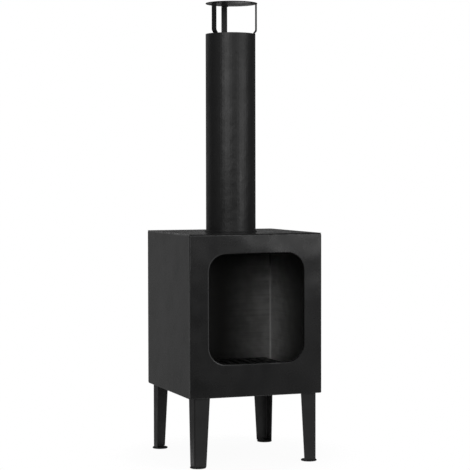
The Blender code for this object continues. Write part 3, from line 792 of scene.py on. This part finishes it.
class FireplaceStage(bpy.types.PropertyGroup):
    """Floor, light and camera."""

    floor_colour: bpy.props.FloatVectorProperty(
        name="Floor", description="Pale matt floor", subtype="COLOR", size=3, min=0, max=1,
        default=(0.80, 0.80, 0.80),
    )
    floor_radius: bpy.props.FloatProperty(
        name="Floor radius", description="Where the floor has faded out", unit="LENGTH", default=0.36
    )
    floor_solid_radius: bpy.props.FloatProperty(
        name="Solid radius", description="Where the floor starts to fade out", unit="LENGTH", default=0.20
    )
    floor_glow: bpy.props.FloatProperty(
        name="Floor glow", description="How far the floor is washed out to white", subtype="FACTOR", min=0, max=1,
        default=0.95,
    )
    room_light: bpy.props.FloatProperty(
        name="Room light", description="Even light from all round on dull surfaces", default=0.70, min=0
    )
    side_grey: bpy.props.FloatProperty(
        name="Side grey", description="How bright the room's sides are in reflections", default=0.075, min=0
    )
    wall_grey: bpy.props.FloatProperty(
        name="Wall grey", description="How bright the wall behind on the left is in reflections",
        default=0.225, min=0,
    )
    left_grey: bpy.props.FloatProperty(
        name="Left grey", description="How bright the wall on the left is in reflections", default=0.145, min=0
    )
    right_grey: bpy.props.FloatProperty(
        name="Right grey", description="How bright the room is behind the right lamp in reflections",
        default=0.36, min=0,
    )
    front_grey: bpy.props.FloatProperty(
        name="Front grey", description="How bright the room is between the tall lamps in reflections",
        default=0.78, min=0,
    )
    lamp_turn: bpy.props.FloatProperty(
        name="Lamp turn", description="Turn of the two tall lamps from -Y towards either side", subtype="ANGLE",
        default=math.radians(38),
    )
    lamp_distance: bpy.props.FloatProperty(
        name="Lamp distance", description="How far the lamps stand from the chimney", unit="LENGTH", default=1.25
    )
    lamp_width: bpy.props.FloatProperty(
        name="Lamp width", description="Width of the two tall lamps' faces", unit="LENGTH", default=0.70
    )
    lamp_top: bpy.props.FloatProperty(
        name="Lamp top", description="Height of the two tall lamps' upper edges", unit="LENGTH", default=1.90
    )
    left_lamp_foot: bpy.props.FloatProperty(
        name="Left lamp foot", description="Height of the left lamp's lower edge", unit="LENGTH", default=0.69
    )
    left_lamp_light: bpy.props.FloatProperty(
        name="Left lamp brightness", description="How bright the left lamp's face is", default=1.9, min=0
    )
    right_lamp_foot: bpy.props.FloatProperty(
        name="Right lamp foot", description="Height of the right lamp's lower edge, where the low lamp's face ends",
        unit="LENGTH", default=0.75,
    )
    right_lamp_light: bpy.props.FloatProperty(
        name="Right lamp brightness", description="How bright the right lamp's face is", default=1.0, min=0
    )
    low_lamp_foot: bpy.props.FloatProperty(
        name="Low lamp foot", description="Height of the low right lamp's lower edge", unit="LENGTH", default=0.54
    )
    low_lamp_turn: bpy.props.FloatProperty(
        name="Low lamp turn", description="Turn of the low right lamp from -Y", subtype="ANGLE",
        default=math.radians(27),
    )
    low_lamp_width: bpy.props.FloatProperty(
        name="Low lamp width", description="Width of the low right lamp's face", unit="LENGTH", default=0.30
    )
    low_lamp_light: bpy.props.FloatProperty(
        name="Low lamp brightness", description="How bright the low right lamp's face is", default=3.1, min=0
    )
    camera_place: bpy.props.FloatVectorProperty(
        name="Camera", description="Where the camera stands", subtype="TRANSLATION", size=3,
        default=(-1.4616, -3.9785, 0.7478),
    )
    camera_yaw: bpy.props.FloatProperty(
        name="Yaw", description="Turn of the view from +Y towards +X", subtype="ANGLE", default=0.3537
    )
    camera_pitch: bpy.props.FloatProperty(
        name="Pitch", description="Tilt of the view above the level", subtype="ANGLE", default=-0.0385
    )
    camera_roll: bpy.props.FloatProperty(
        name="Roll", description="Turn of the picture about the view", subtype="ANGLE", default=-0.0017
    )
    camera_lens: bpy.props.FloatProperty(
        name="Lens", description="Focal length in millimetres on a 36 mm wide frame", default=122.37
    )


class FIREPLACE_OT_firebox(bpy.types.Operator):
    """Paint the shell and the flue spigot, and weld the firebox's two back inside corners"""

    bl_idname = "fireplace.firebox"
    bl_label = "Firebox"

    def execute(self, context):
        paint = context.scene.fireplace_paint
        shell = satin_paint("shell_paint", paint.body_colour, paint.body_roughness, shell=True)
        dress(SHELL_NODES, shell)
        spigot = satin_paint("spigot_paint", paint.body_colour, paint.body_roughness)
        dress(["flue_spigot"], spigot)
        bottom_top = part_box("bottom_plate")[1].z
        bead = context.scene.fireplace_welds.corner_bead
        # The corner beads' pale colour is partly a painted highlight
        steel = weld_steel_and_highlight("corner_weld_highlight")
        for name, side in (("left", -1), ("right", 1)):
            inset = bead * BEAD_OFFSET
            place = (side * (inside_high.x - inset), back_inside - inset)
            bm = bmesh.new()
            weld_bead(bm, [Vector((*place, bottom_top)), Vector((*place, top_low.z))], bead)
            add_piece(f"corner_weld_{name}", bm, steel, "firebox")
        return {"FINISHED"}


class FIREPLACE_OT_chimney(bpy.types.Operator):
    """Paint the pipe and its foot ring, and add the welded seam down its back"""

    bl_idname = "fireplace.chimney"
    bl_label = "Chimney"

    def execute(self, context):
        paint = context.scene.fireplace_paint
        welds = context.scene.fireplace_welds
        rolled = satin_paint(
            "pipe_paint", paint.pipe_colour, paint.pipe_roughness, streak=0.10, dents=paint.dent_depth
        )
        dress(["chimney_pipe", "pipe_foot_ring"], rolled)
        back = pipe_high.y + welds.pipe_proud - welds.pipe_bead
        bm = bmesh.new()
        weld_bead(bm, [Vector((0, back, pipe_low.z)), Vector((0, back, pipe_high.z))], welds.pipe_bead)
        add_piece("pipe_seam", bm, rolled, "chimney")
        return {"FINISHED"}


class FIREPLACE_OT_rain_cap(bpy.types.Operator):
    """Paint the rain cap and its strips"""

    bl_idname = "fireplace.rain_cap"
    bl_label = "Rain cap"

    def execute(self, context):
        paint = context.scene.fireplace_paint
        dress(["rain_cap_disc"], satin_paint("cap_paint", paint.pipe_colour, paint.pipe_roughness))
        dress(STRIP_NODES, satin_paint("strip_paint", paint.pipe_colour, paint.pipe_roughness))
        return {"FINISHED"}


class FIREPLACE_OT_grate(bpy.types.Operator):
    """Paint the fire grate"""

    bl_idname = "fireplace.grate"
    bl_label = "Fire grate"

    def execute(self, context):
        dress(["fire_grate"], grate_paint("grate_paint"))
        return {"FINISHED"}


class FIREPLACE_OT_legs(bpy.types.Operator):
    """Paint the legs and their plates, and add the beads that hold them together"""

    bl_idname = "fireplace.legs"
    bl_label = "Legs"

    def execute(self, context):
        paint = context.scene.fireplace_paint
        welds = context.scene.fireplace_welds
        angle = satin_paint("leg_paint", paint.leg_colour, paint.leg_roughness)
        bead = satin_paint("leg_weld_paint", paint.leg_colour, paint.body_roughness + BEAD_DULLER)
        for name in LEG_NAMES:
            dress(["leg_" + name, "leg_plate_" + name, "foot_plate_" + name], angle)
            low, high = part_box("leg_" + name)
            _, plate_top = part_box("foot_plate_" + name)
            side_x = -1 if low.x < 0 else 1
            side_y = -1 if low.y < 0 else 1
            bm = bmesh.new()
            for height, up, share in ((plate_top.z, 1, FOOT_BEAD_SHARE), (high.z, -1, TOP_BEAD_SHARE)):
                inset = LEG_SHEET + welds.leg_bead * LEG_OFFSET
                corner = Vector((high.x if side_x > 0 else low.x, high.y if side_y > 0 else low.y, height))
                corner += Vector((-side_x * inset, -side_y * inset, up * welds.leg_bead * BEAD_OFFSET))
                flange = (high.x - low.x) * share - inset - LEG_SHEET
                ends = (corner + Vector((-side_x * flange, 0, 0)), corner + Vector((0, -side_y * flange, 0)))
                weld_bead(bm, [ends[0], corner], welds.leg_bead)
                weld_bead(bm, [corner, ends[1]], welds.leg_bead)
            add_piece("leg_weld_" + name, bm, bead, "firebox")
        return {"FINISHED"}


class FIREPLACE_OT_fasteners(bpy.types.Operator):
    """Stand chamfered and threaded bolts and nuts in for the plain ones"""

    bl_idname = "fireplace.fasteners"
    bl_label = "Bolts and nuts"

    def execute(self, context):
        sizes = context.scene.fireplace_fasteners
        steel = blacked_steel("blacked_steel")
        for name in LEG_NAMES:
            for number in BOLT_NUMBERS:
                key = f"{name}_{number}"
                bolt_node, nut_node = "leg_bolt_" + key, "leg_nut_" + key
                bolt_shape = self.bolt_shape(bolt_node, nut_node, sizes)
                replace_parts(add_piece("bolt_" + key, bolt_shape, steel, "firebox"), bolt_node)
                nut_shape = self.nut_shape(nut_node, sizes)
                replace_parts(add_piece("nut_" + key, nut_shape, steel, "firebox"), nut_node)
        return {"FINISHED"}

    def bolt_shape(self, node, nut_node, sizes):
        """A bolt with a chamfered head below and a threaded end above."""
        low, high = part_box(node)
        middle = (low + high) / 2
        head_top = low.z + BOLT_HEAD
        rings = chamfered_hex(low.z, head_top, high.x - low.x, sizes.steps, both_ends=False)
        rings.append(round_ring(head_top, BOLT_RADIUS, sizes.steps))
        nut_low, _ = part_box(nut_node)
        rise = sizes.thread_pitch / 2
        for step in range(round((high.z - rise - nut_low.z) / rise)):
            depth = sizes.thread_depth if step % 2 else 0
            rings.append(round_ring(nut_low.z + step * rise, BOLT_RADIUS - depth, sizes.steps))
        rings.append(round_ring(high.z, BOLT_RADIUS - sizes.thread_depth, sizes.steps))
        bm = bmesh.new()
        join_rings(bm, rings)
        bmesh.ops.translate(bm, vec=(middle.x, middle.y, 0), verts=bm.verts)
        return bm

    def nut_shape(self, node, sizes):
        """A nut with both faces chamfered and its bore's mouth opened."""
        low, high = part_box(node)
        middle = (low + high) / 2
        rings = chamfered_hex(low.z, high.z, high.x - low.x, sizes.steps, both_ends=True)
        rings.append(round_ring(high.z, NUT_BORE + NUT_MOUTH, sizes.steps))
        rings.append(round_ring(high.z - NUT_MOUTH, NUT_BORE, sizes.steps))
        rings.append(round_ring(low.z + NUT_MOUTH, NUT_BORE, sizes.steps))
        rings.append(round_ring(low.z, NUT_BORE + NUT_MOUTH, sizes.steps))
        bm = bmesh.new()
        join_rings(bm, rings, closed=True)
        bmesh.ops.translate(bm, vec=(middle.x, middle.y, 0), verts=bm.verts)
        return bm


class FIREPLACE_OT_stage(bpy.types.Operator):
    """Lay the floor, light the room and place the camera"""

    bl_idname = "fireplace.stage"
    bl_label = "Stage"

    def execute(self, context):
        stage = context.scene.fireplace_stage
        self.lay_floor(context, stage)
        self.light_room(context, stage)
        turn, width, top = stage.lamp_turn, stage.lamp_width, stage.lamp_top
        low_top = stage.right_lamp_foot
        lamps = (
            ("lamp_left", -turn, width, stage.left_lamp_foot, top, stage.left_lamp_light),
            ("lamp_right", turn, width, stage.right_lamp_foot, top, stage.right_lamp_light),
            ("lamp_right_low", stage.low_lamp_turn, stage.low_lamp_width, stage.low_lamp_foot, low_top,
             stage.low_lamp_light),
        )
        for lamp in lamps:
            self.add_lamp(context, stage.lamp_distance, *lamp)
        self.place_camera(context, stage)
        context.scene.view_settings.view_transform = "Standard"
        return {"FINISHED"}

    def lay_floor(self, context, stage):
        """A pale floor that fades into the background."""
        bm = bmesh.new()
        bmesh.ops.create_circle(bm, cap_ends=True, segments=96, radius=stage.floor_radius)
        mesh = bpy.data.meshes.new("floor")
        bm.to_mesh(mesh)
        bm.free()
        floor = bpy.data.objects.new("floor", mesh)
        context.scene.collection.objects.link(floor)
        material, graph, place = new_material("floor_matt")
        reach = graph.node("ShaderNodeVectorMath", {"operation": "LENGTH"}, {0: place}, "Value")
        fade = graph.between(reach, stage.floor_solid_radius, stage.floor_radius)
        matt = graph.node("ShaderNodeBsdfDiffuse", {}, {"Color": solid_colour(stage.floor_colour)})
        white = graph.node("ShaderNodeEmission", {}, {"Color": (1, 1, 1, 1), "Strength": 1.0})
        seen = graph.node("ShaderNodeLightPath", output="Is Camera Ray")
        surface = graph.node("ShaderNodeMixShader", {}, {0: seen * stage.floor_glow, 1: matt, 2: white})
        clear = graph.node("ShaderNodeBsdfTransparent")
        surface = graph.node("ShaderNodeMixShader", {}, {0: fade, 1: surface, 2: clear})
        graph.node("ShaderNodeOutputMaterial", {}, {"Surface": surface})
        mesh.materials.append(material)

    def light_room(self, context, stage):
        """White to look at, with a grey room in reflections and an even light on dull surfaces."""
        world = bpy.data.worlds.new("room")
        context.scene.world = world
        graph = Graph(world)
        direction = graph.node("ShaderNodeTexCoord", output="Generated")
        x, y, height = graph.split(direction)
        turn = x.reckon("ARCTAN2", x, 0 - y) * math.degrees(1)
        backdrop = self.towards(graph, direction, stage.camera_yaw, stage.camera_pitch, *BACKDROP_ANGLES)
        front = graph.within(turn, FRONT_ZONE) * graph.within(height, FRONT_HEIGHTS)
        wall = (1 - graph.between(turn, *WALL_END)) * (0.5 + 0.5 * graph.between(height, *WALL_FOOT))
        left = graph.within(turn, LEFT_ZONE)
        right = graph.within(turn, RIGHT_ZONE)
        greys = stage.side_grey * (1 - graph.within(turn, DARK_ZONE)) + stage.front_grey * front
        for zone, grey in ((wall, stage.wall_grey), (left, stage.left_grey), (right, stage.right_grey)):
            greys = greys + (grey - stage.side_grey) * zone
        reflected = greys + (1 - greys) * backdrop
        rays = {
            name: graph.node("ShaderNodeLightPath", output=f"Is {name} Ray")
            for name in ("Camera", "Glossy", "Transmission")
        }
        mirrored = rays["Glossy"].reckon("MAXIMUM", rays["Glossy"], rays["Transmission"])
        strength = mirrored * reflected + (1 - mirrored) * stage.room_light
        strength = rays["Camera"] + (1 - rays["Camera"]) * strength
        light = graph.node("ShaderNodeBackground", {}, {"Color": (1, 1, 1, 1), "Strength": strength})
        graph.node("ShaderNodeOutputWorld", {}, {"Surface": light})

    def towards(self, graph, direction, yaw, pitch, outer, inner):
        """1 within the inner angle of a heading, 0 outside the outer one, in degrees. Yaw 0 is +Y."""
        heading = (math.sin(yaw) * math.cos(pitch), math.cos(yaw) * math.cos(pitch), math.sin(pitch))
        along = graph.node(
            "ShaderNodeVectorMath", {"operation": "DOT_PRODUCT"}, {0: direction, 1: heading}, "Value"
        )
        return graph.between(along, math.cos(math.radians(outer)), math.cos(math.radians(inner)))

    def add_lamp(self, context, distance, name, turn, width, low, high, brightness):
        """An upright soft lamp that faces the chimney, at a turn from -Y and between two heights."""
        data = bpy.data.lights.new(name, "AREA")
        data.shape = "RECTANGLE"
        data.size, data.size_y = width, high - low
        data.energy = brightness * math.pi * data.size * data.size_y
        lamp = bpy.data.objects.new(name, data)
        context.scene.collection.objects.link(lamp)
        lamp.location = (distance * math.sin(turn), -distance * math.cos(turn), (low + high) / 2)
        lamp.rotation_euler = (math.pi / 2, 0, turn)
        lamp.visible_camera = False

    def place_camera(self, context, stage):
        """The photographed view."""
        data = bpy.data.cameras.new("camera")
        data.sensor_fit = "HORIZONTAL"
        data.sensor_width = 36
        data.lens = stage.camera_lens
        data.clip_end = 50
        camera = bpy.data.objects.new("camera", data)
        context.scene.collection.objects.link(camera)
        yaw, pitch, roll = stage.camera_yaw, stage.camera_pitch, stage.camera_roll
        forward = Vector((math.sin(yaw) * math.cos(pitch), math.cos(yaw) * math.cos(pitch), math.sin(pitch)))
        level = forward.cross(Vector((0, 0, 1))).normalized()
        upright = level.cross(forward)
        right = math.cos(roll) * level + math.sin(roll) * upright
        up = -math.sin(roll) * level + math.cos(roll) * upright
        turned = Matrix((right, up, -forward)).transposed().to_4x4()
        camera.matrix_world = Matrix.Translation(Vector(stage.camera_place)) @ turned
        context.scene.camera = camera


class FIREPLACE_PT_panel(bpy.types.Panel):
    """The fireplace's pieces and their settings"""

    bl_label = "Outdoor Fireplace"
    bl_space_type = "VIEW_3D"
    bl_region_type = "UI"
    bl_category = "Fireplace"

    def draw(self, context):
        layout = self.layout
        for kind in PIECE_OPERATORS:
            layout.operator(kind.bl_idname)
        for group in SETTINGS:
            box = layout.box()
            values = getattr(context.scene, group)
            for name in values.__annotations__:
                box.prop(values, name)


PIECE_OPERATORS = (
    FIREPLACE_OT_firebox,
    FIREPLACE_OT_chimney,
    FIREPLACE_OT_rain_cap,
    FIREPLACE_OT_grate,
    FIREPLACE_OT_legs,
    FIREPLACE_OT_fasteners,
    FIREPLACE_OT_stage,
)
SETTINGS = {
    "fireplace_paint": FireplacePaint,
    "fireplace_welds": FireplaceWelds,
    "fireplace_fasteners": FireplaceFasteners,
    "fireplace_stage": FireplaceStage,
}


def register():
    for name, group in SETTINGS.items():
        bpy.utils.register_class(group)
        setattr(bpy.types.Scene, name, bpy.props.PointerProperty(type=group))
    for kind in (*PIECE_OPERATORS, FIREPLACE_PT_panel):
        bpy.utils.register_class(kind)


def unregister():
    for kind in (FIREPLACE_PT_panel, *reversed(PIECE_OPERATORS)):
        bpy.utils.unregister_class(kind)
    for name, group in SETTINGS.items():
        delattr(bpy.types.Scene, name)
        bpy.utils.unregister_class(group)


def main():
    register()
    bpy.ops.fireplace.firebox()
    bpy.ops.fireplace.chimney()
    bpy.ops.fireplace.rain_cap()
    bpy.ops.fireplace.grate()
    bpy.ops.fireplace.legs()
    bpy.ops.fireplace.fasteners()
    bpy.ops.fireplace.stage()


if __name__ == "__main__":
    main()
